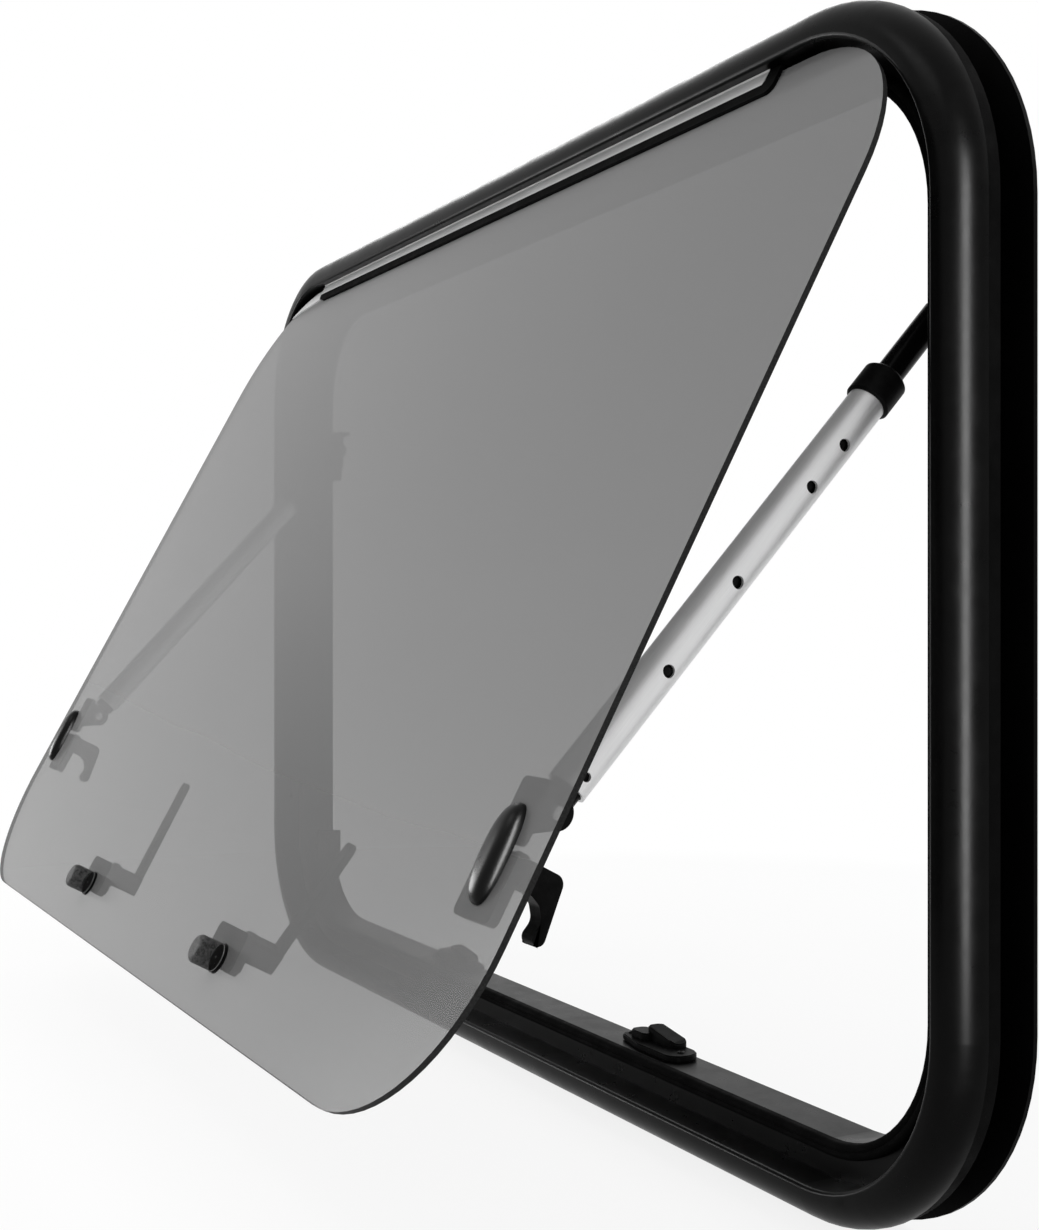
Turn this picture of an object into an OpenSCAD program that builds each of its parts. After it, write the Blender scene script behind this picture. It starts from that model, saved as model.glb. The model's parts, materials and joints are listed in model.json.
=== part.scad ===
// Emergency exit window for a caravan or camper wall: a top-hung pane in a bullnose frame,
// held open by two telescopic stays and shut by four turning latches.
// X runs to the right seen from outside, -Y is outside, +Y is inside, +Z is up.
// The origin is on the back of the flange, where it meets the wall: at mid width, and in the
// middle of the flange's bottom run. Y = 0 is the wall's outer face.

/* [Frame] */
// Overall width across the outer frame
frame_w = 930; // [700:1:1200]
// Overall height across the outer frame
frame_h = 623; // [560:1:800]
// Radius of the frame's outer corners
frame_r = 116; // [100:1:140]
// Radius of the rounded outer nose
nose_r = 17.7; // [17:0.1:18]
// Depth of the rubber band between the flange and the wall
band_t = 8; // [5:0.5:12]
// Width of the frame from the outer edge to the clear opening
frame_in = 40.8; // [38:0.1:46]
// How far the frame's tube reaches inside from the wall's outer face
tube_depth = 22; // [20:1:45]
// Thickness of the clamp ring on the inside
clamp_t = 2.5; // [2:0.5:4]

/* [Pane] */
// Opening angle of the pane as it stands
open_angle = 28.7; // [0:0.1:45]
// Thickness of the tinted pane
pane_t = 3; // [3:0.5:6]
// Gap between the pane's edge and the frame's outer edge
pane_in = 23; // [22:0.5:28]
// How far the hinge strip runs to the left of the middle
strip_left = 345; // [250:1:345]
// How far the hinge strip runs to the right of the middle
strip_right = 310; // [250:1:325]

/* [Stays] */
// Distance of each stay from the window's middle
stay_x = 404; // [396:1:406]
// Outer radius of the stay's tube
stay_r = 9.6; // [8:0.1:10]
// Radius of the sliding rod
rod_r = 7; // [6:0.1:7.5]
// Angle between each stay and the vertical
stay_angle = 43.08; // [43:0.01:43.2]
// Distance from the pane bracket's pin to the rod's far eye
stay_l = 327; // [320:1:334]

/* [Latches] */
// Distance of each side latch from the window's middle
side_latch_x = 408; // [396:1:410]
// Distance of the right bottom latch from the window's middle
bottom_right_x = 164; // [100:1:300]
// Distance of the left bottom latch from the window's middle
bottom_left_x = 126; // [100:1:300]
// Turn of the right bottom lever towards the corner
bottom_right_turn = 22; // [0:1:30]

/* [Hidden] */
$fn = 64;
half_w = frame_w / 2;
half_h = frame_h / 2;
// The origin's distance from the bottom edge, and the height of the window's middle above it
flange_mid = 15;
mid_z = half_h - flange_mid;
// The hinge pin's line, as depth from the wall face and height
hinge_y = -14;
hinge_z = mid_z + half_h - 17.5;
bead_r = 3.2;
liner_r = 5.2;
// The liner's groove runs a little past both ends of the hinge strip
groove_from = -strip_left - 4;
groove_l = strip_left + strip_right + 16;
// The frame's section, across from the outer edge and outwards from the wall face
seat_d = 4;
seat_t = 3;
nose_mid_d = band_t + 0.7;
nose_top_d = nose_mid_d + nose_r;
lip_r = 2.5;
rebate_in = nose_r + lip_r;
web_in = nose_r - 3;
sleeve_t = 3;
// The pane's faces when shut, inwards from the hinge line, and its corners
pane_face = 1.2;
pane_back = pane_face + pane_t;
pane_r = frame_r - pane_in;
pane_top_r = pane_r + 5;
// Drops from the hinge line, down the pane
pane_top = 5.6;
pane_bottom = frame_h - 43.8;
stay_drop = 423.6;
stay_rise = 15.9;
side_drop = 453.6;
bottom_drop = 534;
knob_drop = 545.6;
strip_drop = 12.5;
lip_drop = 20;
// The least gap under a part that turns
play = 0.3;
side_base_t = 5;
bottom_base_t = 6.4;
// Lengths along the stay from the pane bracket's pin
tube_start = 13;
collar_start = 256;
collar_end = 274.5;
hole_steps = [20.2, 82, 136.6, 198, 226];
tube_bore = rod_r + 1.1;
pin_r = 2.5;
// The stay's upper pivot on the frame, and the cheeks that stand on both sides of it
yoke_z = mid_z + 147.5;
cheek_t = 2.5;
cheek_gap = 14;

// A closed ring round the window from one flat section: the section's first axis runs outwards
// from a corner's centre and its second axis runs from the wall to the outside.
module ring() {
  r = frame_r;
  translate([0, 0, mid_z]) rotate([90, 0, 0]) for (side = [0:3]) {
    across = side % 2 == 0 ? frame_w : frame_h;
    along = side % 2 == 0 ? frame_h : frame_w;
    rotate([0, 0, 90 * side]) translate([across / 2 - r, 0, 0]) {
      rotate([90, 0, 0]) linear_extrude(along - 2 * r, center = true) children();
      translate([0, along / 2 - r, 0]) rotate_extrude(angle = 90) children();
    }
  }
}

// A rectangle of that section, between two insets from the outer edge and two depths
module strip(inset_a, inset_b, depth_a, depth_b) {
  translate([frame_r - inset_b, depth_a]) square([inset_b - inset_a, depth_b - depth_a]);
}

module frame_section() {
  intersection() {
    translate([frame_r - nose_r, nose_mid_d]) circle(nose_r);
    strip(0, nose_r, band_t, nose_top_d);
  }
  translate([frame_r - nose_r, nose_top_d - lip_r]) circle(lip_r);
  strip(web_in, rebate_in, seat_d - seat_t, nose_top_d - lip_r);
  strip(web_in, frame_in, seat_d - seat_t, seat_d);
  strip(frame_in - sleeve_t, frame_in, -tube_depth, seat_d);
}

module outer_frame() {
  color("#101010") difference() {
    ring() frame_section();
    translate([groove_from, hinge_y, hinge_z]) rotate([0, 90, 0])
      cylinder(h = groove_l, r = liner_r);
  }
}

module wall_band() {
  color("#202020") ring() {
    strip(1, web_in, 0, band_t);
    strip(1, 2 * flange_mid - 1, 0, seat_d - seat_t);
  }
}

// A hollow seal has two soft ridges side by side
module pane_seal() {
  ridge_r = 2.5;
  color("#141414") ring() {
    strip(frame_in - 8.4, frame_in, seat_d, seat_d + 3);
    for (inset = [frame_in - 8.4 + ridge_r, frame_in - ridge_r])
      translate([frame_r - inset, seat_d + 3]) circle(ridge_r);
  }
}

module clamp_ring() {
  color("#161616") ring() {
    strip(0, frame_in - sleeve_t, -tube_depth, clamp_t - tube_depth);
    strip(frame_in - sleeve_t - 2.5, frame_in - sleeve_t, -tube_depth, -4);
  }
}

module hinge_liner() {
  color("#0c0c0c") translate([groove_from, hinge_y, hinge_z]) rotate([0, 90, 0]) difference() {
    cylinder(h = groove_l, r = liner_r);
    translate([0, 0, -1]) cylinder(h = groove_l + 2, r = bead_r + play);
    translate([0, 0, -1]) linear_extrude(groove_l + 2)
      polygon([[0, 0], for (a = [-26, 20, 66]) 3 * liner_r * [cos(a), -sin(a)]]);
  }
}

// A keeper with a ramp, seated in the curve where the side run meets the bottom corner
module striker_side() {
  difference() {
    translate([frame_in - half_w, 0, mid_z - 212]) linear_extrude(26, center = true)
      polygon([[-1, 5], [6, 5], [7.5, 8], [7.5, 13], [10, 15], [10, 21], [6.5, 27], [3, 27], [-1, 21]]);
    ring() strip(frame_in - 9, frame_in, -tube_depth - 6, 2 * seat_d);
  }
}

module striker_left() {
  color("#181818") striker_side();
}

module striker_right() {
  color("#181818") mirror([1, 0, 0]) striker_side();
}

// A six-sided base plate with a low lobe and a higher, ramped one
module striker_bottom(x) {
  base_t = 4;
  color("#181818") translate([x - 9, 0, frame_in - flange_mid]) {
    linear_extrude(base_t)
      polygon([[-34, 11], [-7, 0], [30, -1], [36, 10], [23, 22], [-22, 21]]);
    translate([0, 18, 0]) rotate([90, 0, 0]) linear_extrude(13)
      polygon([[-24, 3], [-24, 6.5], [-21.5, 8.7], [-7.5, 8.7], [-5, 6.5], [-5, 3]]);
    translate([0, 22, 0]) rotate([90, 0, 0]) linear_extrude(10)
      polygon([[-12, 3], [-12, 10.5], [-9.5, 12.7], [13, 12.7], [20, 7], [20, 3]]);
  }
}

module striker_bottom_left() { striker_bottom(-bottom_left_x); }

module striker_bottom_right() { striker_bottom(bottom_right_x); }

// An upside-down U that carries the upper end of a stay
module stay_yoke() {
  inner = stay_x - cheek_gap - cheek_t;
  wall = half_w - frame_in;
  color("#111111") translate([0, 0, yoke_z]) {
    translate([wall - 2.5, 4, -20]) cube([2.5, 18, 43]);
    translate([inner, 8, 20]) cube([wall - inner, 22, 3]);
    for (x = [inner, stay_x + cheek_gap]) {
      translate([x, 8, -4]) cube([cheek_t, 22, 25]);
      translate([x, 19, -4]) rotate([0, 90, 0]) cylinder(h = cheek_t, r = 11);
    }
  }
}

module stay_yoke_right() { stay_yoke(); }

module stay_yoke_left() { mirror([1, 0, 0]) stay_yoke(); }

// What rides on the pane is drawn with the pane shut, round the hinge line, and then swung out
module on_pane() {
  translate([0, hinge_y, hinge_z]) rotate([-open_angle, 0, 0]) children();
}

// A flat profile seen from outside, as a plate between two depths of the pane's drawing
module plate(y, t) {
  translate([0, y + t, 0]) rotate([90, 0, 0]) linear_extrude(t) children();
}

// A rectangle with round corners, between two opposite corners
module rounded(lo, hi, r) {
  translate([lo.x + r, lo.y]) square([hi.x - lo.x - 2 * r, hi.y - lo.y]);
  translate([lo.x, lo.y + r]) square([hi.x - lo.x, hi.y - lo.y - 2 * r]);
  for (x = [lo.x + r, hi.x - r], y = [lo.y + r, hi.y - r]) translate([x, y]) circle(r);
}

// The top corners are rounder, because they turn inside the frame's lip
module pane_outline() {
  w = half_w - pane_in;
  intersection() {
    rounded([-w, -pane_bottom], [w, -pane_top + pane_r], pane_r);
    rounded([-w, -pane_bottom - pane_top_r], [w, -pane_top], pane_top_r);
  }
}

module pane() {
  color([0.35, 0.35, 0.35, 0.6]) on_pane() plate(pane_face, pane_t) pane_outline();
}

// A bead that turns in the liner, the leaf under it, and a tail that follows the pane's corner
module hinge_strip() {
  color("#a0a0a0") on_pane() {
    translate([-strip_left, 0, 0]) rotate([0, 90, 0])
      cylinder(h = strip_left + strip_right, r = bead_r);
    plate(-0.6, pane_face + 0.6) polygon([
      [-strip_left, 1.5], [strip_right, 1.5],
      [strip_right - 2.2, -strip_drop], [-strip_left, -strip_drop]
    ]);
    plate(0, pane_face) intersection() {
      translate([1.5, -1.5]) pane_outline();
      translate([-strip_left, 0])
        polygon([[1, 0], [-75, 0], [-67, -30.5], [-55, -26], [-35, -21.6], [1, -17]]);
    }
  }
}

module hinge_lip() {
  left = 2 - strip_left;
  right = strip_right + 10.5;
  end_r = 6;
  color("#0c0c0c") on_pane() plate(-1, pane_face + 1) {
    polygon([
      [left, -strip_drop], [left + 2, -17], [left + 12, -lip_drop],
      [right - end_r, -lip_drop], [right - end_r, -strip_drop]
    ]);
    translate([strip_right, end_r - lip_drop]) square([right - strip_right, lip_drop - end_r]);
    translate([right - end_r, end_r - lip_drop]) circle(end_r);
  }
}

module side_latch_base() {
  color("#1a1a1a") on_pane() translate([side_latch_x, 0, -side_drop])
    plate(pane_back, side_base_t) rounded([-23, -26.4], [11, 6.6], 4);
}

module latch_base_right() { side_latch_base(); }

module latch_base_left() { mirror([1, 0, 0]) side_latch_base(); }

module bottom_latch_base(x) {
  color("#1a1a1a") on_pane() translate([x, 0, -bottom_drop]) {
    plate(pane_back, bottom_base_t - 2) rounded([-30, -16.5], [18, 7], 4);
    plate(pane_back, bottom_base_t) rounded([-27, -14.5], [15, 5], 3);
  }
}

module latch_base_bottom_right() { bottom_latch_base(bottom_right_x); }

module latch_base_bottom_left() { bottom_latch_base(-bottom_left_x); }

// A fork that stands off the pane and carries the lower end of a stay
module stay_foot() {
  plate_t = 3;
  color("#121212") on_pane() translate([stay_x, 0, -stay_drop]) {
    plate(pane_back, plate_t) rounded([-12, -20], [12, 10.6], 3);
    for (x = [-8.5, 4.5]) translate([x, 0, 0]) rotate([90, 0, 90]) linear_extrude(4) {
      translate([stay_rise, 0]) circle(8);
      polygon([[pane_back + 1, 8], [stay_rise, 8], [stay_rise + 6.1, -5.2], [pane_back + 1, -15.4]]);
    }
    translate([0, stay_rise, 0]) rotate([0, 90, 0]) cylinder(h = 16, r = pin_r, center = true);
  }
}

module stay_foot_right() { stay_foot(); }

module stay_foot_left() { mirror([1, 0, 0]) stay_foot(); }

// A low domed bar with round ends, standing on the pane's outer face and long in Z
module domed_bar(length, r, h, edge) {
  rise = h - edge;
  dome_r = (r * r + rise * rise) / (2 * rise);
  half = length / 2 - r;
  rotate([90, 0, 0]) {
    for (end = [0, 1]) mirror([0, end, 0]) translate([0, half, 0])
      rotate_extrude(angle = 180) half_dome(r, h, dome_r);
    rotate([90, 0, 0]) linear_extrude(2 * half, center = true) {
      half_dome(r, h, dome_r);
      mirror([1, 0]) half_dome(r, h, dome_r);
    }
  }
}

module half_dome(r, h, dome_r) {
  intersection() {
    square([r, h]);
    translate([0, h - dome_r]) circle(dome_r);
  }
}

module side_cap() {
  color("#080808") on_pane() translate([side_latch_x, pane_face, 3.2 - side_drop])
    domed_bar(47, 9, 6.3, 2.8);
}

module side_cap_right() { side_cap(); }

module side_cap_left() { mirror([1, 0, 0]) side_cap(); }

// A round knob with flutes for the fingers and a hollow in its end
module bottom_knob(x) {
  knob_r = 8;
  knob_h = 14.5;
  flutes = 20;
  color("#303030") on_pane() translate([x, pane_face - 1.5, -knob_drop]) rotate([90, 0, 0])
    difference() {
      union() {
        cylinder(h = knob_h - 1.5, r = knob_r);
        translate([0, 0, knob_h - 1.5]) cylinder(h = 1.5, r1 = knob_r, r2 = knob_r - 1.5);
      }
      for (i = [1:flutes]) rotate([0, 0, i * 360 / flutes])
        translate([knob_r + 0.5, 0, 2]) cylinder(h = knob_h, r = 1, $fn = 16);
      translate([0, 0, knob_h - 2]) cylinder(h = 3, r = 4);
    }
}

module bottom_knob_right() { bottom_knob(bottom_right_x + 2); }

module bottom_knob_left() { bottom_knob(-bottom_left_x + 2); }

module knob_rosette(x) {
  color("#060606") on_pane() translate([x, pane_face, -knob_drop])
    rotate([90, 0, 0]) cylinder(h = 1.5, r = 8.6);
}

module knob_rosette_right() { knob_rosette(bottom_right_x + 2); }

module knob_rosette_left() { knob_rosette(-bottom_left_x + 2); }

// Stays are drawn upright from the pane bracket's pin, and then leaned over to the frame
module on_stay() {
  translate([0, hinge_y, hinge_z]) rotate([-open_angle, 0, 0])
    translate([stay_x, stay_rise, -stay_drop]) rotate([open_angle - stay_angle, 0, 0])
      children();
}

module stay_tube() {
  color("#d8d8d8") on_stay() difference() {
    translate([0, 0, tube_start]) cylinder(h = collar_start + 3 - tube_start, r = stay_r);
    translate([0, 0, tube_start - 1]) cylinder(h = collar_start + 6 - tube_start, r = tube_bore);
    for (z = hole_steps)
      translate([0, 0, z]) rotate([0, 90, 0]) cylinder(h = stay_r + 2, r = z < 30 ? 2.2 : 3.1);
  }
}

module stay_tube_right() { stay_tube(); }

module stay_tube_left() { mirror([1, 0, 0]) stay_tube(); }

module stay_collar() {
  collar_r = 11.4;
  bevel = 2;
  color("#0a0a0a") on_stay() difference() {
    union() {
      translate([0, 0, collar_start]) cylinder(h = 1, r1 = collar_r - 1, r2 = collar_r);
      translate([0, 0, collar_start + 1])
        cylinder(h = collar_end - collar_start - 1 - bevel, r = collar_r);
      translate([0, 0, collar_end - bevel]) cylinder(h = bevel, r1 = collar_r, r2 = collar_r - bevel);
    }
    translate([0, 0, collar_start - 1]) cylinder(h = collar_end - collar_start + 2, r = rod_r + 0.4);
    translate([0, 0, collar_start - 1]) cylinder(h = 4, r = stay_r);
  }
}

module stay_collar_right() { stay_collar(); }

module stay_collar_left() { mirror([1, 0, 0]) stay_collar(); }

module stay_plug() {
  color("#0c0c0c") on_stay() difference() {
    union() {
      rotate([0, 90, 0]) cylinder(h = 8, r = 7, center = true);
      translate([-4, -5.5, 0]) cube([8, 11, tube_start - 3]);
      translate([0, 0, 8.6]) cylinder(h = tube_start - 8.6, r = tube_bore - 0.5);
      translate([0, 0, tube_start]) cylinder(h = 10, r = tube_bore);
    }
    rotate([0, 90, 0]) cylinder(h = 10, r = pin_r + 0.2, center = true);
  }
}

module stay_plug_right() { stay_plug(); }

module stay_plug_left() { mirror([1, 0, 0]) stay_plug(); }

module stay_rod() {
  color("#101010") on_stay()
    translate([0, 0, stay_l - 245]) cylinder(h = 245 - 6, r = rod_r);
}

module stay_rod_right() { stay_rod(); }

module stay_rod_left() { mirror([1, 0, 0]) stay_rod(); }

module rod_eye() {
  color("#141414") on_stay() translate([0, 0, stay_l]) difference() {
    union() {
      rotate([0, 90, 0]) cylinder(h = 9, r = 6, center = true);
      translate([0, 0, -6]) cylinder(h = 6, r = 4.5);
    }
    rotate([0, 90, 0]) cylinder(h = 11, r = 2.6, center = true);
  }
}

module rod_eye_right() { rod_eye(); }

module rod_eye_left() { mirror([1, 0, 0]) rod_eye(); }

// The side latch's lever: an arm that stands off the pane and a grip that hangs from it and
// widens towards its round tip
module side_handle() {
  hub_y = pane_back + side_base_t + play;
  color("#0a0a0a") on_pane() translate([side_latch_x, 0, -side_drop]) {
    plate(hub_y, 4) circle(8.5);
    translate([-5, 0, 0]) rotate([90, 0, 90]) linear_extrude(10) {
      polygon([
        [hub_y, 6.6], [27.8, 6.9], [32.8, 1.9], [34.3, -4.3], [36.9, -20.9], [29.1, -20.9],
        [31.3, -14.7], [27, -9.7], [21.4, -6.5], [hub_y, -7]
      ]);
      translate([27.8, 1.9]) circle(5);
      translate([33, -20.9]) circle(3.9);
    }
    intersection() {
      plate(29, 9) polygon([[-4, -5], [4, -5], [6.5, -24.8], [-6.5, -24.8]]);
      translate([-7, 0, 0]) rotate([90, 0, 90]) linear_extrude(14) {
        polygon([[32.4, -4.3], [34.3, -4.3], [36.9, -20.9], [29.1, -20.9], [31.3, -14.7]]);
        translate([33, -20.9]) circle(3.9);
      }
    }
  }
}

module side_handle_right() { side_handle(); }

module side_handle_left() { mirror([1, 0, 0]) side_handle(); }

// The bottom latch's lever: a square arm and a long flat blade with a round tip
module bottom_handle(x, turn) {
  hub_y = pane_back + bottom_base_t + play;
  blade_y = 28.2;
  blade_t = 4;
  reach = 75;
  color("#101010") on_pane() translate([x, 0, -bottom_drop]) rotate([0, turn, 0]) {
    plate(hub_y, 3.5) circle(8.5);
    plate(hub_y, blade_y + blade_t - hub_y) rounded([-6, -7], [6, 7], 2.5);
    plate(blade_y, blade_t) {
      polygon([[-5, 0], [5, 0], [4, reach], [-4, reach]]);
      translate([0, reach]) circle(4);
    }
  }
}

module bottom_handle_right() { bottom_handle(bottom_right_x, bottom_right_turn); }

module bottom_handle_left() { bottom_handle(-bottom_left_x, 0); }

outer_frame();
wall_band();
pane_seal();
clamp_ring();
hinge_liner();
striker_left();
striker_right();
striker_bottom_left();
striker_bottom_right();
stay_yoke_left();
stay_yoke_right();
pane();
hinge_strip();
hinge_lip();
latch_base_left();
latch_base_right();
latch_base_bottom_left();
latch_base_bottom_right();
stay_foot_left();
stay_foot_right();
side_cap_left();
side_cap_right();
bottom_knob_left();
bottom_knob_right();
knob_rosette_left();
knob_rosette_right();
stay_tube_left();
stay_tube_right();
stay_collar_left();
stay_collar_right();
stay_plug_left();
stay_plug_right();
stay_rod_left();
stay_rod_right();
rod_eye_left();
rod_eye_right();
side_handle_left();
side_handle_right();
bottom_handle_left();
bottom_handle_right();
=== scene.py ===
"""Looks of the top-hung window: camera, studio, materials, and the small hardware.

Lengths are in metres, in the part's own frame: +X right seen from outside, -Y outside, +Z up.
"""
import json
import math
import random

import bmesh
import bpy
from mathutils import Matrix, Vector


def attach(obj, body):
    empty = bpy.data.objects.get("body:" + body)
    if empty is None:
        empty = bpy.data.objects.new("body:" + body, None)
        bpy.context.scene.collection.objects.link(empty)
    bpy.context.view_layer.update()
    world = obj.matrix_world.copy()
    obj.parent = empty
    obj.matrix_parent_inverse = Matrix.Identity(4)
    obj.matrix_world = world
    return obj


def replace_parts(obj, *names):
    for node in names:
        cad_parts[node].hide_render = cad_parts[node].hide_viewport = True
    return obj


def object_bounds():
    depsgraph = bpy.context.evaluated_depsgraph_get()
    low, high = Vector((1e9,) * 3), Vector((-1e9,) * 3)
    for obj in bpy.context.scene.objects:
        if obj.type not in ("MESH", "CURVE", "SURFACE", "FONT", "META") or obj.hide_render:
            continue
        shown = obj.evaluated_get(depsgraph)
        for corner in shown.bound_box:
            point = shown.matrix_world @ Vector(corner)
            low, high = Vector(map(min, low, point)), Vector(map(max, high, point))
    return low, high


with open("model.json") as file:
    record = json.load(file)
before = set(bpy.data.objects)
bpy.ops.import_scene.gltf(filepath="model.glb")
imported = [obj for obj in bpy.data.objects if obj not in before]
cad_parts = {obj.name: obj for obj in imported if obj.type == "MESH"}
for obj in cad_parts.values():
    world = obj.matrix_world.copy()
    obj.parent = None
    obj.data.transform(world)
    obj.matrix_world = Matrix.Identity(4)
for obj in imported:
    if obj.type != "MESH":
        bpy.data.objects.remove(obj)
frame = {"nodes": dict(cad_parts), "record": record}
cad_lo, cad_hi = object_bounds()
random.seed(11)

# Dimensions, as in the CAD
FRAME_W, FRAME_H, FRAME_R = 0.930, 0.623, 0.116
FRAME_IN, TUBE_DEPTH, FLANGE_MID = 0.0408, 0.022, 0.015
HALF_W, HALF_H = FRAME_W / 2, FRAME_H / 2
MID_Z = HALF_H - FLANGE_MID
# The clear opening's faces at the sides and at the bottom
SLEEVE_X, SLEEVE_Z = HALF_W - FRAME_IN, FRAME_IN - FLANGE_MID
HINGE = Vector((0, -0.014, MID_Z + HALF_H - 0.0175))
OPEN = math.radians(28.7)
STAY = math.radians(43.08)
# Places on the pane: distance from the middle, and drop from the hinge
STAY_X, STAY_DROP, STAY_RISE, STAY_L = 0.404, 0.4236, 0.0159, 0.327
SIDE_X, SIDE_DROP = 0.408, 0.4536
BOTTOM_X = {"left": -0.126, "right": 0.164}
BOTTOM_DROP, KNOB_DROP = 0.534, 0.5456
PANE_FACE, PANE_BACK = 0.0012, 0.0042
KNOB_R, KNOB_BASE, KNOB_SHIFT, WINDOW_RISE = 0.008, 0.0015, 0.002, 0.0061
SIDES = {"left": -1, "right": 1}

# The pane is drawn hanging straight down from the hinge, and SASH swings it out as it stands
SASH = Matrix.Translation(HINGE) @ Matrix.Rotation(-OPEN, 4, "X")
PANE_NORMAL = (0.0, -math.cos(OPEN), math.sin(OPEN))


def stay_matrix(sx):
    """The stay's own drawing, upright from its lower pin, as it leans at rest."""
    pin = Matrix.Translation((sx * STAY_X, STAY_RISE, -STAY_DROP))
    return SASH @ pin @ Matrix.Rotation(OPEN - STAY, 4, "X")


# Camera, as solved from the photograph
PHOTO_LONG, SHIFT_PX = 1230, 4.34
CAMERA_AT, CAMERA_TURN, CAMERA_LENS = (1.0372, -0.5515, 0.2943), 62.19, 48.83
cam_data = bpy.data.cameras.new("camera")
cam_data.sensor_width = 36.0
cam_data.lens = CAMERA_LENS
cam_data.shift_y = SHIFT_PX / PHOTO_LONG
cam_data.clip_start = 0.02
cam = bpy.data.objects.new("camera", cam_data)
cam.location = CAMERA_AT
cam.rotation_euler = (math.radians(90), 0, math.radians(CAMERA_TURN))
bpy.context.scene.collection.objects.link(cam)
bpy.context.scene.camera = cam
bpy.context.scene.view_settings.view_transform = "Standard"


# Node helpers
class Nodes:
    """A short way to write a node tree."""

    def __init__(self, tree):
        self.tree = tree

    def add(self, kind, inputs=None, **props):
        n = self.tree.nodes.new(kind)
        for k, v in props.items():
            setattr(n, k, v)
        for k, v in (inputs or {}).items():
            if isinstance(v, bpy.types.NodeSocket):
                self.tree.links.new(v, n.inputs[k])
            else:
                n.inputs[k].default_value = v
        return n

    def noise(self, vector, scale, detail=3.0, rough=0.55):
        return self.add("ShaderNodeTexNoise", {
            "Vector": vector, "Scale": scale, "Detail": detail, "Roughness": rough}).outputs["Fac"]

    def spread(self, value, low, high, from_low=0.3, from_high=0.7):
        return self.add("ShaderNodeMapRange", {
            "Value": value, "From Min": from_low, "From Max": from_high,
            "To Min": low, "To Max": high}).outputs["Result"]

    def ramp(self, value, stops):
        n = self.add("ShaderNodeValToRGB", {"Fac": value})
        els = n.color_ramp.elements
        while len(els) < len(stops):
            els.new(0.5)
        for e, (pos, col) in zip(els, stops):
            e.position = pos
            e.color = (*col, 1.0)
        return n.outputs["Color"]

    def math(self, op, a, b=None):
        inputs = {0: a} if b is None else {0: a, 1: b}
        return self.add("ShaderNodeMath", inputs, operation=op).outputs[0]

    def mix(self, factor, a, b):
        return self.add("ShaderNodeMix", {"Factor": factor, "A": a, "B": b},
                        data_type="RGBA", blend_type="MIX").outputs["Result"]

    def bump(self, height, distance, strength=1.0):
        return self.add("ShaderNodeBump", {
            "Height": height, "Distance": distance, "Strength": strength}).outputs["Normal"]


def empty_tree(owner):
    """The node tree of a material or a world, emptied."""
    owner.use_nodes = True
    owner.node_tree.nodes.clear()
    return Nodes(owner.node_tree)


def new_material(name):
    mat = bpy.data.materials.new(name)
    n = empty_tree(mat)
    out = n.add("ShaderNodeOutputMaterial")
    bsdf = n.add("ShaderNodeBsdfPrincipled")
    mat.node_tree.links.new(bsdf.outputs[0], out.inputs["Surface"])
    coords = n.add("ShaderNodeTexCoord").outputs["Object"]
    return mat, n, bsdf, coords


def link(n, out, bsdf, socket):
    n.tree.links.new(out, bsdf.inputs[socket])


def coated(name, dark, light, rough, spec, grain, grain_depth, wear=0.0):
    """A painted, moulded or rubber surface: grain as bump, patchy colour and roughness."""
    patch, mottle, worn_from, worn_to = 9.0, 260.0, 0.515, 0.56
    mat, n, bsdf, co = new_material(name)
    patches = n.noise(co, patch, 4.0, 0.6)
    fine = n.noise(co, grain, 2.0, 0.5)
    colour = n.ramp(patches, [(0.3, dark), (0.7, light)])
    if wear:
        # edges that hands and tools reach are rubbed a little lighter
        worn = n.add("ShaderNodeNewGeometry").outputs["Pointiness"]
        edge = n.spread(worn, 0.0, wear, worn_from, worn_to)
        mottled = n.math("MULTIPLY", edge, n.noise(co, mottle, 3.0))
        rubbed = tuple(min(1.0, c * 6 + 0.03) for c in light)
        colour = n.mix(mottled, colour, (*rubbed, 1.0))
    link(n, colour, bsdf, "Base Color")
    streak = n.noise(co, patch * 6, 5.0, 0.65)
    link(n, n.spread(streak, rough * 0.85, rough * 1.2), bsdf, "Roughness")
    bsdf.inputs["Specular IOR Level"].default_value = spec
    link(n, n.bump(fine, grain_depth), bsdf, "Normal")
    return mat


def metal(name, dark, light, rough, along, stretch=(1, 1, 0.02), metallic=1.0):
    """Metal with a fine grain, which is long where it is drawn: along a lean from upright."""
    grain, grain_depth, patch = 2600.0, 0.00002, 22.0
    mat, n, bsdf, co = new_material(name)
    turned = n.add("ShaderNodeVectorRotate", {"Vector": co, "Angle": along},
                   rotation_type="X_AXIS").outputs["Vector"]
    stretched = n.add("ShaderNodeMapping", {"Vector": turned, "Scale": stretch})
    lines = n.noise(stretched.outputs["Vector"], grain, 4.0, 0.7)
    cloud = n.noise(co, patch, 4.0, 0.6)
    both = n.math("ADD", n.math("MULTIPLY", lines, 0.6), n.math("MULTIPLY", cloud, 0.4))
    link(n, n.ramp(both, [(0.35, dark), (0.65, light)]), bsdf, "Base Color")
    bsdf.inputs["Metallic"].default_value = metallic
    link(n, n.spread(both, rough * 0.8, rough * 1.3), bsdf, "Roughness")
    link(n, n.bump(lines, grain_depth), bsdf, "Normal")
    return mat


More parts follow.
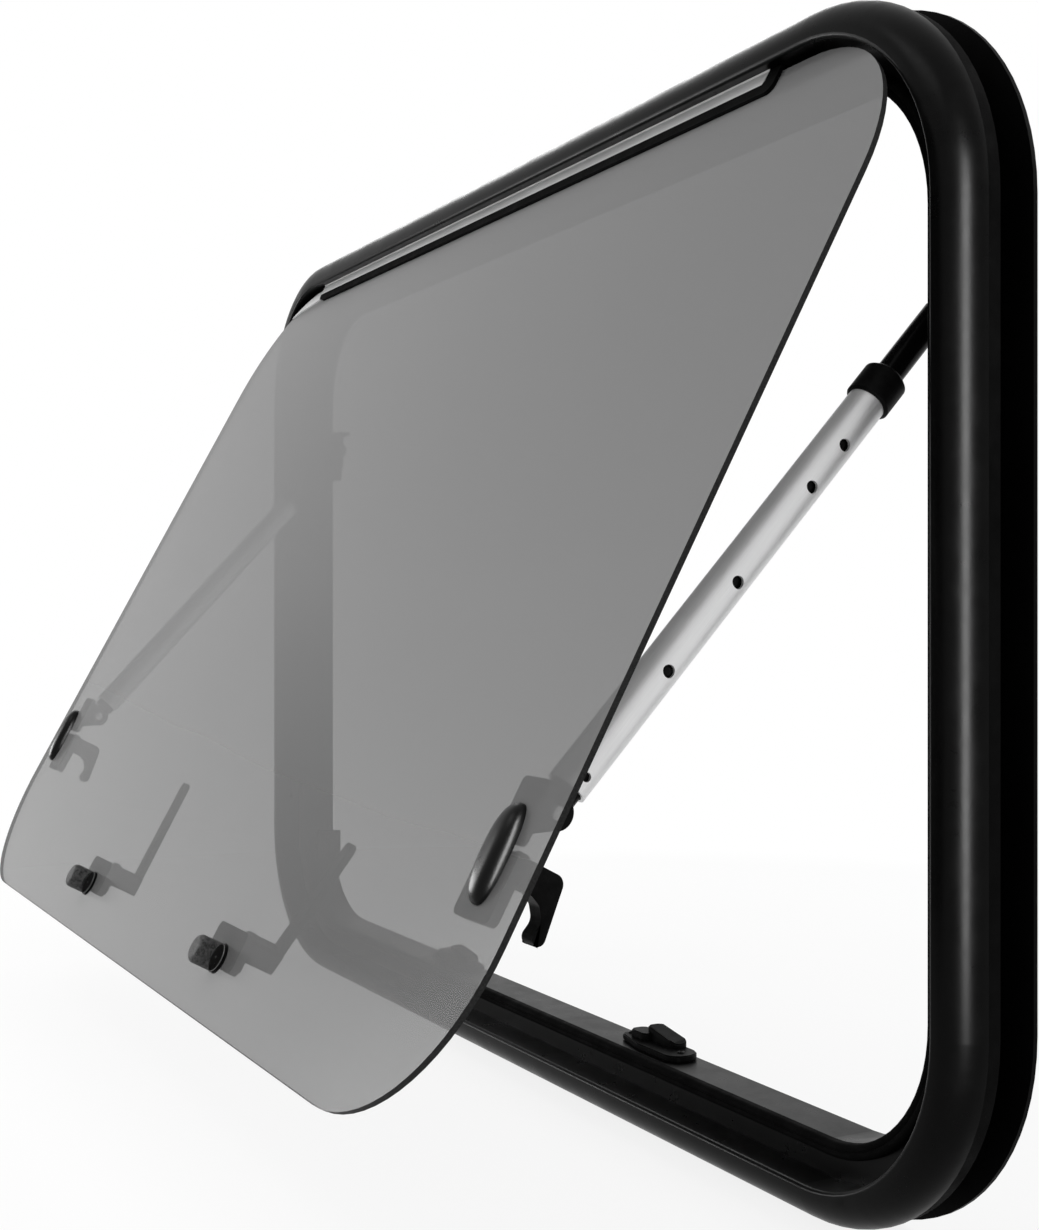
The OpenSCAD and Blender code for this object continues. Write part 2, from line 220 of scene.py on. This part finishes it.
def tinted_pane(name):
    """Smoked acrylic: a grey veil that is denser towards the hinge, with painted light in its grey
    (lighter across the middle height and towards -X), and with dark sawn edges.
    """
    bottom, middle, top = 0.08, 0.33, 0.58
    mat, n, bsdf, co = new_material(name)
    across, height = (n.add("ShaderNodeSeparateXYZ", {0: co}).outputs[a] for a in "XZ")
    haze = n.math("MULTIPLY", n.math("SUBTRACT", n.noise(co, 3.0, 4.0, 0.55), 0.5), 0.10)
    veil = n.math("ADD", n.spread(height, 0.0, 1.0, 0.05, top), haze)
    # painted light: the veil's grey is lighter across the middle height than at the bottom and the top
    greys = n.ramp(veil, [(0.0, (0.176,) * 3), (0.5, (0.220,) * 3), (1.0, (0.200,) * 3)])
    # painted light: the grey is lighter towards -X and darker towards +X
    painted_light_across = n.spread(across, 1.11, 0.96, -HALF_W, HALF_W)
    faces = n.add("ShaderNodeVectorMath", {0: greys, "Scale": painted_light_across},
                  operation="SCALE").outputs["Vector"]
    # the sawn edge faces lie across the pane's normal
    normal = n.add("ShaderNodeNewGeometry").outputs["True Normal"]
    own = n.add("ShaderNodeVectorTransform", {"Vector": normal}, vector_type="NORMAL",
                convert_from="WORLD", convert_to="OBJECT").outputs["Vector"]
    along = n.add("ShaderNodeVectorMath", {0: own, 1: PANE_NORMAL}, operation="DOT_PRODUCT")
    edge = n.math("LESS_THAN", n.math("ABSOLUTE", along.outputs["Value"]), 0.7)
    saw = n.noise(co, 900.0, 3.0, 0.6)
    sawn = n.ramp(saw, [(0.3, (0.016,) * 3), (0.7, (0.034,) * 3)])
    link(n, n.mix(edge, faces, sawn), bsdf, "Base Color")
    wipe = n.add("ShaderNodeMapping", {"Vector": co, "Scale": (1.0, 3.0, 3.0)}).outputs["Vector"]
    smears = n.spread(n.noise(wipe, 9.0, 2.0, 0.5), 0.14, 0.19)
    link(n, n.math("MAXIMUM", smears, n.math("MULTIPLY", edge, 0.5)), bsdf, "Roughness")
    bsdf.inputs["IOR"].default_value = 1.49
    bsdf.inputs["Specular IOR Level"].default_value = 0.03
    tint = n.math("ADD", n.spread(height, 0.55, 0.75, bottom, middle),
                  n.spread(height, 0.0, 0.12, middle, top))
    link(n, n.math("MAXIMUM", tint, edge), bsdf, "Alpha")
    link(n, n.bump(n.math("MULTIPLY", saw, edge), 0.0002, 0.5), bsdf, "Normal")
    return mat


def smoked_knob(name):
    """A mottled smoke-grey barrel with a clear slanted window on its +X side, over the base."""
    clear, closed, half_step = 0.03, 0.96, 0.0004
    mat, n, bsdf, co = new_material(name)
    mottle = n.noise(co, 420.0, 5.0, 0.7)
    link(n, n.ramp(mottle, [(0.35, (0.018,) * 3), (0.7, (0.12,) * 3)]), bsdf, "Base Color")
    outwards = n.add("ShaderNodeVectorMath", {0: co, 1: PANE_NORMAL}, operation="DOT_PRODUCT")
    face = (SASH @ Vector((0, PANE_FACE, -KNOB_DROP))).dot(Vector(PANE_NORMAL))
    height = n.math("SUBTRACT", outwards.outputs["Value"], face)
    x = n.add("ShaderNodeSeparateXYZ", {0: co}).outputs["X"]
    left, right = (BOTTOM_X[side] + KNOB_SHIFT for side in ("left", "right"))
    centre = n.spread(n.math("GREATER_THAN", x, (left + right) / 2), left, right, 0.0, 1.0)
    beside = n.math("MAXIMUM", n.math("SUBTRACT", x, centre), 0.0)
    window = n.math("ADD", n.math("MULTIPLY", beside, WINDOW_RISE / KNOB_R), KNOB_BASE)
    over = n.math("SUBTRACT", height, window)
    link(n, n.spread(over, clear, closed, -half_step, half_step), bsdf, "Alpha")
    link(n, n.spread(mottle, 0.3, 0.55), bsdf, "Roughness")
    bsdf.inputs["Specular IOR Level"].default_value = 0.08
    link(n, n.bump(mottle, 0.0003), bsdf, "Normal")
    return mat


MATERIALS = {
    "frame_black": coated("frame_black", (0.0008,) * 3, (0.0016,) * 3, 0.30, 0.05, 700.0, 0.00002),
    "clamp_black": coated("clamp_black", (0.001,) * 3, (0.002,) * 3, 0.45, 0.03, 900.0, 0.00004),
    "rubber": coated("rubber", (0.002,) * 3, (0.004,) * 3, 0.75, 0.03, 1500.0, 0.00010),
    "moulded_black": coated("moulded_black", (0.0009,) * 3, (0.002,) * 3, 0.42, 0.03, 1300.0,
                            0.00008, wear=0.2),
    "gloss_black": coated("gloss_black", (0.001,) * 3, (0.002,) * 3, 0.28, 0.10, 600.0,
                          0.00002, wear=0.1),
    "rod_black": coated("rod_black", (0.002,) * 3, (0.004,) * 3, 0.22, 0.06, 800.0, 0.00002),
    "tinted_acrylic": tinted_pane("tinted_acrylic"),
    "knob_grey": smoked_knob("knob_grey"),
    "strip_aluminium": metal("strip_aluminium", (0.55,) * 3, (0.66,) * 3, 0.5, 0.0,
                             stretch=(0.02, 1, 1), metallic=0.3),
    "tube_aluminium": metal("tube_aluminium", (0.74, 0.74, 0.745), (0.84, 0.84, 0.84), 0.45, STAY,
                            metallic=0.6),
    "worn_metal": metal("worn_metal", (0.08,) * 3, (0.30,) * 3, 0.35, 0.0, stretch=(1, 1, 1)),
    "bright_metal": metal("bright_metal", (0.55,) * 3, (0.75,) * 3, 0.25, 0.0, stretch=(1, 1, 1)),
}

SLOT_OF = {s["node"]: s["material_slot"] for s in frame["record"]["subparts"]}
for node_name, obj in frame["nodes"].items():
    obj.data.materials.clear()
    obj.data.materials.append(MATERIALS[SLOT_OF[node_name]])
    for poly in obj.data.polygons:
        poly.material_index = 0


# Small hardware in mesh code
def piece(name, verts, faces, slot, body, angle=35, bevel=0.0):
    """A visible piece from mesh code, shaded smooth up to an angle, riding on a body."""
    mesh = bpy.data.meshes.new(name)
    mesh.from_pydata(verts, [], faces)
    mesh.update()
    obj = bpy.data.objects.new(name, mesh)
    bpy.context.scene.collection.objects.link(obj)
    bm = bmesh.new()
    bm.from_mesh(mesh)
    bmesh.ops.recalc_face_normals(bm, faces=bm.faces)
    if bevel:
        corners = [e for e in bm.edges if e.calc_face_angle(0) > math.radians(angle)]
        bmesh.ops.bevel(bm, geom=corners, offset=bevel, segments=3, affect="EDGES",
                        clamp_overlap=True)
    bm.to_mesh(mesh)
    bm.free()
    mesh.polygons.foreach_set("use_smooth", [True] * len(mesh.polygons))
    mesh.set_sharp_from_angle(angle=math.radians(angle))
    mesh.materials.append(MATERIALS[slot])
    # the record slot that the small hardware's metals would count as; the value is not
    # kept; metals that only the small hardware has count as the record's aluminium
    "tube_aluminium" if slot in ("bright_metal", "worn_metal") else slot
    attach(obj, body)
    return obj


def lathe(profile, segments=32):
    """A body of revolution about +Z, from (radius, height) pairs that close on the axis or in a ring."""
    verts, faces, rings = [], [], []
    for r, z in profile:
        if r < 1e-9:
            rings.append([len(verts)])
            verts.append(Vector((0, 0, z)))
        else:
            rings.append(list(range(len(verts), len(verts) + segments)))
            verts += [Vector((r * math.cos(t), r * math.sin(t), z))
                      for t in (2 * math.pi * i / segments for i in range(segments))]
    for a, b in zip(rings, rings[1:]):
        for i in range(segments):
            j = (i + 1) % segments
            quad = [a[i % len(a)], a[j % len(a)], b[j % len(b)], b[i % len(b)]]
            quad = list(dict.fromkeys(quad))
            if len(quad) > 2:
                faces.append(quad)
    return verts, faces


def cross_head(r, h):
    """A round screw head with a cross recess: the recess is cut into a lathe by moving its rings."""
    n, bar, bar_end, depth = 48, 0.28, 0.62, 0.45
    rings = [(0.0, h), (0.14, h), (0.30, h * 0.99), (0.46, h * 0.97), (0.58, h * 0.93),
             (0.70, h * 0.86), (0.84, h * 0.66), (0.95, h * 0.36), (1.0, 0.0), (1.0, -0.25 * h)]
    verts, faces, ids = [], [], []
    for f, z in rings:
        if f == 0:
            ids.append([len(verts)])
            verts.append(Vector((0, 0, z - depth * h)))
            continue
        ring = []
        for i in range(n):
            t = 2 * math.pi * i / n
            x, y = f * math.cos(t), f * math.sin(t)
            in_bar = min(abs(x), abs(y)) < bar / 2 and max(abs(x), abs(y)) < bar_end
            ring.append(len(verts))
            verts.append(Vector((r * x, r * y, z - (depth * h if in_bar else 0))))
        ids.append(ring)
    for a, b in zip(ids, ids[1:]):
        for i in range(n):
            j = (i + 1) % n
            quad = list(dict.fromkeys([a[i % len(a)], a[j % len(a)], b[j % len(b)],
                                       b[i % len(b)]]))
            faces.append(quad)
    faces.append(list(reversed(ids[-1])))
    return verts, faces


def many(name, shape, places, slot, body):
    """One piece made of the same small form at many places."""
    return piece(name, *joined(*(moved(shape, m) for m in places)), slot, body)


def turn_to(axis, at, spin=0.0):
    """A matrix that stands +Z along axis, at a point."""
    q = Vector((0, 0, 1)).rotation_difference(Vector(axis))
    return Matrix.Translation(at) @ q.to_matrix().to_4x4() @ Matrix.Rotation(spin, 4, "Z")


def rounded(corners):
    """An outline from (x, y, radius) corners, each turned into an arc that touches both sides."""
    steps, points = 6, []
    for i, (x, y, r) in enumerate(corners):
        here = Vector((x, y))
        before = (Vector(corners[i - 1][:2]) - here).normalized()
        after = (Vector(corners[(i + 1) % len(corners)][:2]) - here).normalized()
        half = before.angle(after) / 2
        if r == 0:
            points.append(here)
            continue
        centre = here + (before + after).normalized() * (r / math.sin(half))
        start, end = (here + d * (r / math.tan(half)) - centre for d in (before, after))
        turn = start.angle_signed(end)
        for k in range(steps + 1):
            points.append(centre + Matrix.Rotation(-turn * k / steps, 2) @ start)
    return points


def prism(outline, low, high):
    """An outline in X and Y, stood up between two heights."""
    n = len(outline)
    verts = [Vector((p[0], p[1], z)) for z in (low, high) for p in outline]
    faces = [list(range(n))[::-1], list(range(n, 2 * n))]
    faces += [[i, (i + 1) % n, n + (i + 1) % n, n + i] for i in range(n)]
    return verts, faces


def moved(shape, matrix):
    return [matrix @ v for v in shape[0]], shape[1]


def joined(*shapes):
    verts, faces = [], []
    for more_verts, more_faces in shapes:
        base = len(verts)
        verts += more_verts
        faces += [[base + i for i in f] for f in more_faces]
    return verts, faces


def mirrored(shape, sx):
    """The right-hand shape, or its mirror image for the left side."""
    return [Vector((sx * v.x, v.y, v.z)) for v in shape[0]], shape[1]


INWARDS = (0, 1, 0)


def ring_points(inset, count):
    """Evenly spaced points on the rounded rectangle at an inset from the frame's outer edge."""
    r = FRAME_R - inset
    sx, sz = HALF_W - FRAME_R, HALF_H - FRAME_R
    runs = [2 * sx, math.pi * r / 2, 2 * sz, math.pi * r / 2] * 2
    total = sum(runs)
    # clockwise from the top run: where each run starts, its direction, and the corner after it
    starts = [(-sx, sz + r), (sx + r, sz), (sx, -sz - r), (-sx - r, -sz)]
    steps = [(1, 0), (0, -1), (-1, 0), (0, 1)]
    centres = [(sx, sz), (sx, -sz), (-sx, -sz), (-sx, sz)]
    angles = [math.pi / 2, 0, -math.pi / 2, math.pi]
    for k in range(count):
        s = (k + 0.5) * total / count
        i = 0
        while s > runs[i]:
            s -= runs[i]
            i += 1
        if i % 2 == 0:
            (x, z), (dx, dz) = starts[i // 2], steps[i // 2]
            yield x + dx * s, z + dz * s
        else:
            (x, z), a = centres[i // 2], angles[i // 2] - s / r
            yield x + r * math.cos(a), z + r * math.sin(a)


CLAMP_INSET, CLAMP_COUNT = 0.012, 22
clamp_places = [turn_to(INWARDS, (x, TUBE_DEPTH, MID_Z + z), random.uniform(0, 1.5))
                for x, z in ring_points(CLAMP_INSET, CLAMP_COUNT)]
many("clamp_screws", cross_head(0.0036, 0.0018), clamp_places, "bright_metal", "frame")

dome = lathe([(0, 0.0016), (0.0012, 0.00155), (0.0024, 0.0012), (0.0032, 0.0006), (0.0035, 0),
              (0.0035, -0.0004), (0, -0.0004)])
small_screw = cross_head(0.0026, 0.0011)
hub_screw = cross_head(0.0034, 0.0014)
KEEPER_T, KEEPER_SHIFT = 0.004, -0.009
STRIKER_TOP = SLEEVE_Z + KEEPER_T
STRIKER_FACE, STRIKER_DROP, SCREW_Y = SLEEVE_X - 0.0075, 0.212, 0.0105


def on_sash(x, y, drop, spin):
    """A place on the pane's inner side, with +Z away from the pane."""
    return SASH @ turn_to(INWARDS, (x, y, -drop), spin)


YOKE_Z = MID_Z + 0.1475
YOKE_IN, YOKE_OUT = STAY_X - 0.006, STAY_X + 0.014
YOKE_BACK = 0.030
# Lays a prism so that its outline is in Y and Z, and its height runs along X
ACROSS = Matrix.Rotation(math.radians(90), 4, "Y") @ Matrix.Rotation(math.radians(90), 4, "Z")


def yoke_hood():
    """The stay's upper bracket: a wall plate, a cheek that holds the pin, and a roof over it."""
    plate_t, roof_z, roof_t = 0.0025, 0.020, 0.003
    front, cheek_foot, nose_r = 0.008, -0.015, 0.0105
    wall_front, wall_foot, wall_r = 0.004, -0.020, 0.003
    roof_top, into_roof = roof_z + roof_t, roof_z + 0.001
    roof = prism(rounded([(YOKE_IN, front + 0.009, 0.004), (SLEEVE_X, front, 0),
                          (SLEEVE_X, YOKE_BACK, 0), (YOKE_IN, YOKE_BACK, 0.004)]),
                 roof_z, roof_top)
    cheek = prism(rounded([(front, cheek_foot, nose_r), (YOKE_BACK, cheek_foot, nose_r),
                           (YOKE_BACK, into_roof, 0), (front, into_roof, 0)]),
                  YOKE_OUT, YOKE_OUT + plate_t)
    wall = prism(rounded([(wall_front, wall_foot, wall_r), (YOKE_BACK, wall_foot, wall_r),
                          (YOKE_BACK, roof_top, 0), (wall_front, roof_top, wall_r)]),
                 SLEEVE_X - plate_t, SLEEVE_X)
    upright = [moved(plate, ACROSS) for plate in (cheek, wall)]
    return moved(joined(roof, *upright), Matrix.Translation((0, 0, YOKE_Z)))


def keeper():
    """The bottom latch's keeper: a soft-cornered plate, a low lobe and a higher, ramped one."""
    plate = prism(rounded([(-0.033, 0.005, 0.005), (-0.005, -0.001, 0.009),
                           (0.0355, -0.001, 0.010), (0.0355, 0.022, 0.011),
                           (-0.016, 0.022, 0.010), (-0.033, 0.016, 0.005)]), 0.0, KEEPER_T)
    low = prism(rounded([(-0.024, 0.005, 0.005), (-0.005, 0.005, 0.005),
                         (-0.005, 0.018, 0.005), (-0.024, 0.018, 0.005)]), 0.003, 0.0087)
    high = prism(rounded([(-0.012, 0.010, 0.005), (0.020, 0.010, 0.005),
                          (0.020, 0.022, 0.005), (-0.012, 0.022, 0.005)]), 0.003, 0.0127)
    ramp_from, slope, foot_z = 0.009, 0.55, 0.01
    for v in high[0]:
        if v.z > foot_z:
            v.z -= slope * max(0.0, v.x - ramp_from)
    return joined(plate, low, high)


def side_lever():
    """The side latch's lever in the pane's drawing: a hub, an arm and a hooked grip."""
    hub_y = PANE_BACK + 0.0053
    arm = prism(rounded([(hub_y, 0.0066, 0.0005), (0.0329, 0.0070, 0.005), (0.0343, -0.0043, 0.01),
                         (0.0369, -0.0248, 0.0038), (0.0291, -0.0248, 0.0038),
                         (0.0313, -0.0147, 0.006), (0.0268, -0.0088, 0.004),
                         (0.0214, -0.0065, 0.004), (hub_y, -0.0070, 0.0005)]), -0.005, 0.005)
    hub = lathe([(0, 0), (0.0085, 0), (0.0085, 0.0035), (0.0080, 0.004), (0, 0.004)], 40)
    stand = Matrix.Translation((0, hub_y, 0)) @ turn_to(INWARDS, (0, 0, 0))
    return joined(moved(arm, ACROSS), moved(hub, stand))


def pebble(half_l, half_w, rise):
    """A low pebble standing on Z = 0, long in Y."""
    power, rings, around = 2.5, 10, 48
    verts, faces = [], []
    for k in range(rings):
        t = math.pi / 2 * k / rings
        size, z = math.cos(t) ** (2 / 3.0), rise * math.sin(t) ** 0.9
        for i in range(around):
            a = 2 * math.pi * i / around
            x = half_w * math.copysign(abs(math.cos(a)) ** (2 / power), math.cos(a))
            y = half_l * math.copysign(abs(math.sin(a)) ** (2 / power), math.sin(a))
            verts.append(Vector((x * size, y * size, z)))
    for k in range(rings - 1):
        for i in range(around):
            j = (i + 1) % around
            faces.append([k * around + i, k * around + j, (k + 1) * around + j,
                          (k + 1) * around + i])
    top = len(verts)
    verts.append(Vector((0, 0, rise)))
    last = (rings - 1) * around
    faces += [[last + i, last + (i + 1) % around, top] for i in range(around)]
    faces.append(list(range(around))[::-1])
    return verts, faces


def knob_barrel():
    """A plain barrel with a softly rounded outer end."""
    r, h, edge, steps = KNOB_R, 0.0145, 0.003, 8
    arc = [(r - edge + edge * math.cos(t), h - edge + edge * math.sin(t))
           for t in (math.pi / 2 * k / steps for k in range(steps + 1))]
    return lathe([(0, 0), (r - 0.0003, 0), (r, 0.0003), *arc, (0, h + 0.0004)], 48)


def ring(r, thick, z):
    """A thin round wire about +Z."""
    turns = (2 * math.pi * k / 10 for k in range(11))
    return lathe([(r + thick * math.cos(t), z + thick * math.sin(t)) for t in turns], 48)


def knob_base():
    """The black disc at the barrel's foot, which shows through the window."""
    return lathe([(0, 0), (0.0076, 0), (0.0076, 0.0017), (0.0072, 0.0021), (0, 0.0021)], 48)


def knob_rim():
    """The base's thin worn rim and the end of the spindle in its middle."""
    spindle = lathe([(0, 0.0027), (0.0005, 0.0026), (0.0008, 0.0021), (0, 0.0020)], 16)
    return joined(ring(0.0077, 0.00022, 0.0018), spindle)


def on_pane_face(x, drop):
    """A place on the pane's outer face, with +Z away from it and +Y up the pane."""
    return SASH @ Matrix.Translation((x, PANE_FACE, -drop)) @ Matrix.Rotation(math.pi / 2, 4, "X")


CAP_L, CAP_W, CAP_RISE, CAP_UP = 0.0476, 0.0188, 0.0070, 0.0032

for side, sx in SIDES.items():
    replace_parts(piece(f"stay_hood_{side}", *mirrored(yoke_hood(), sx), "moulded_black", "frame",
                      bevel=0.0005), f"stay_yoke_{side}")
    keeper_at = Matrix.Translation((BOTTOM_X[side] + KEEPER_SHIFT, 0, SLEEVE_Z))
    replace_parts(piece(f"keeper_{side}", *moved(keeper(), keeper_at), "moulded_black", "frame",
                      bevel=0.0008), f"striker_bottom_{side}")
    lever_at = SASH @ Matrix.Translation((sx * SIDE_X, 0, -SIDE_DROP))
    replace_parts(piece(f"side_lever_{side}", *moved(mirrored(side_lever(), sx), lever_at),
                      "moulded_black", f"side_handle_{side}", bevel=0.0009),
                f"side_handle_{side}")
    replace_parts(piece(f"cap_shell_{side}",
                      *moved(pebble(CAP_L / 2, CAP_W / 2, CAP_RISE),
                             on_pane_face(sx * SIDE_X, SIDE_DROP - CAP_UP)),
                      "gloss_black", "sash"), f"side_cap_{side}")
    knob_at = on_pane_face(BOTTOM_X[side] + KNOB_SHIFT, KNOB_DROP)
    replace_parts(piece(f"knob_barrel_{side}",
                      *moved(knob_barrel(), knob_at @ Matrix.Translation((0, 0, KNOB_BASE))),
                      "knob_grey", "sash"), f"bottom_knob_{side}")
    piece(f"knob_base_{side}", *moved(knob_base(), knob_at), "gloss_black", "sash")
    piece(f"knob_rim_{side}", *moved(knob_rim(), knob_at), "worn_metal", "sash")

# Each screw's cross is turned by an angle of its own, given outright or taken from its place
PIN_END, EYE_BACK, LEVER_FACE = 0.0085, 0.0055, 0.0322
RIVET_OUT, RIVET_UP, RIVET_SIZE = 0.0078, 0.082, 0.72

for side, sx in SIDES.items():
    # rivet heads at both ends of the lower pin
    pin = SASH @ Vector((sx * STAY_X, STAY_RISE, -STAY_DROP))
    many(f"pin_heads_{side}", dome,
         [turn_to((1, 0, 0), pin + Vector((PIN_END, 0, 0))),
          turn_to((-1, 0, 0), pin - Vector((PIN_END, 0, 0)))], "bright_metal", "sash")
    # the rivet in the tube's second hole
    stay = stay_matrix(sx)
    out = stay @ Vector((sx * RIVET_OUT, 0, RIVET_UP))
    many(f"tube_rivet_{side}", dome, [turn_to((sx, 0, 0), out) @ Matrix.Scale(RIVET_SIZE, 4)],
         "rod_black", f"stay_tube_{side}")
    # the pin in the rod's eye, which reaches for the cheek by the frame
    eye = stay @ Vector((0, 0, STAY_L))
    many(f"eye_pin_{side}",
         lathe([(0, -0.0012), (0.0034, -0.0012), (0.0040, -0.0004), (0.0040, 0), (0.0024, 0),
                (0.0024, 0.0186), (0.0020, 0.0190), (0, 0.0190)]),
         [turn_to((sx, 0, 0), eye - Vector((sx * EYE_BACK, 0, 0)))], "rod_black",
         f"stay_rod_{side}")
    # screws that hold the strikers to the frame
    keeper_x = BOTTOM_X[side] + KEEPER_SHIFT
    many(f"striker_screws_{side}", small_screw,
         [turn_to((0, 0, 1), (keeper_x - 0.0285, SCREW_Y, STRIKER_TOP), 0.4),
          turn_to((0, 0, 1), (keeper_x + 0.0275, SCREW_Y, STRIKER_TOP), 1.1)]
         + [turn_to((-sx, 0, 0), (sx * STRIKER_FACE, SCREW_Y, MID_Z - STRIKER_DROP + dz), dz * 90)
            for dz in (-0.008, 0.008)], "rod_black", "frame")
    # screws that hold the latches' base plates to the pane
    side_y, bottom_y = PANE_BACK + 0.005, PANE_BACK + 0.0064
    many(f"base_screws_{side}", small_screw,
         [on_sash(sx * (SIDE_X + dx), side_y, SIDE_DROP - dz, 40 * dx)
          for dx, dz in ((-0.018, -0.021), (0.0065, -0.0215), (-0.018, 0.0015))]
         + [on_sash(BOTTOM_X[side] + dx, bottom_y, BOTTOM_DROP - dz, 50 * dx)
            for dx, dz in ((-0.022, -0.005), (0.0112, -0.0112))], "bright_metal", "sash")
    # the screw on which each bottom lever turns
    many(f"lever_screw_{side}", hub_screw,
         [on_sash(BOTTOM_X[side], LEVER_FACE, BOTTOM_DROP, 0.5)], "bright_metal",
         f"bottom_handle_{side}")

# Studio
WHITE = (1, 1, 1, 1)
FLOOR_GAP, FLOOR_HALF = 0.0005, 30.0
FADE_FROM, FADE_TO, LEAST_GLOW = 0.25, 1.1, 0.85
# How bright the world is at the walls and at the ceiling
WALLS, CEILING = 0.16, 1.05


def white_for_camera(n):
    """Camera, glossy and transmission rays meet plain white; the object's light stays as it is."""
    path = n.add("ShaderNodeLightPath").outputs
    direct = n.math("MAXIMUM", path["Is Camera Ray"], path["Is Glossy Ray"])
    return n.math("MAXIMUM", direct, path["Is Transmission Ray"])


def fading_floor():
    """A pale matt floor that keeps a soft shadow near the object and fades to the white backdrop."""
    mat = bpy.data.materials.new("floor_pale")
    n = empty_tree(mat)
    out = n.add("ShaderNodeOutputMaterial")
    matt = n.add("ShaderNodeBsdfDiffuse", {"Color": (0.86, 0.86, 0.86, 1)})
    glow = n.add("ShaderNodeEmission", {"Color": WHITE, "Strength": 1.0})
    place = n.add("ShaderNodeTexCoord").outputs["Object"]
    reach = n.add("ShaderNodeVectorMath", {0: place}, operation="LENGTH").outputs["Value"]
    far = n.math("MAXIMUM", n.spread(reach, 0.0, 1.0, FADE_FROM, FADE_TO), LEAST_GLOW)
    keep = n.math("MULTIPLY", white_for_camera(n), far)
    mix = n.add("ShaderNodeMixShader", {"Fac": keep, 1: matt.outputs[0], 2: glow.outputs[0]})
    n.tree.links.new(mix.outputs[0], out.inputs["Surface"])
    return mat


def backdrop():
    """A bright ceiling over darker walls for the object's light, and plain white for the camera."""
    world = bpy.data.worlds.new("world")
    n = empty_tree(world)
    out = n.add("ShaderNodeOutputWorld")
    sky = n.add("ShaderNodeSeparateXYZ", {0: n.add("ShaderNodeTexCoord").outputs["Generated"]})
    level = n.spread(sky.outputs["Z"], WALLS, CEILING, 0.1, 0.85)
    light = n.add("ShaderNodeBackground", {"Color": WHITE, "Strength": level})
    seen = n.add("ShaderNodeBackground", {"Color": WHITE, "Strength": 1.0})
    mix = n.add("ShaderNodeMixShader", {"Fac": white_for_camera(n),
                                        1: light.outputs[0], 2: seen.outputs[0]})
    n.tree.links.new(mix.outputs[0], out.inputs["Surface"])
    return world


corners = [(x * FLOOR_HALF, y * FLOOR_HALF, 0) for x, y in ((-1, -1), (1, -1), (1, 1), (-1, 1))]
floor_mesh = bpy.data.meshes.new("floor")
floor_mesh.from_pydata(corners, [], [(0, 1, 2, 3)])
floor_mesh.materials.append(fading_floor())
floor = bpy.data.objects.new("floor", floor_mesh)
floor.location = (0, 0, cad_lo.z - FLOOR_GAP)
bpy.context.scene.collection.objects.link(floor)

bpy.context.scene.world = backdrop()


def softbox(name, at, target, size, power):
    """A rectangular area lamp at a point, turned to shine at another."""
    data = bpy.data.lights.new(name, "AREA")
    data.shape = "RECTANGLE"
    data.size, data.size_y = size
    data.energy = power
    obj = bpy.data.objects.new(name, data)
    obj.location = at
    aim = Vector(target) - Vector(at)
    obj.rotation_euler = aim.to_track_quat("-Z", "Y").to_euler()
    bpy.context.scene.collection.objects.link(obj)
    return obj


MIDDLE = (0, -0.1, MID_Z)
softbox("key", (0.2, -1.6, 2.3), MIDDLE, (1.6, 0.5), 9)
softbox("fill", (-1.5, -1.6, 0.7), MIDDLE, (0.9, 0.9), 15)
softbox("rim", (0.8, 1.8, 1.5), MIDDLE, (1.0, 0.6), 10)
# these three are only there for the gloss on the frame's rounded bulb and the caps
gloss_on = bpy.data.collections.new("gloss_on")
gloss_on.objects.link(frame["nodes"]["outer_frame"])
for side in SIDES:
    gloss_on.objects.link(bpy.data.objects[f"cap_shell_{side}"])
for gloss in (softbox("strip", (0.95, -0.27, MID_Z + 0.07), (0.45, -0.02, MID_Z), (0.2, 0.74), 26),
              softbox("gloss_top", (-1.42, 0.72, 1.5), (0, 0, 2 * MID_Z), (1.2, 0.7), 9),
              softbox("gloss_low", (-1.0, -0.85, 0.25), (0.3, 0, 0), (0.5, 0.4), 10)):
    gloss.visible_diffuse = False
    gloss.light_linking.receiver_collection = gloss_on
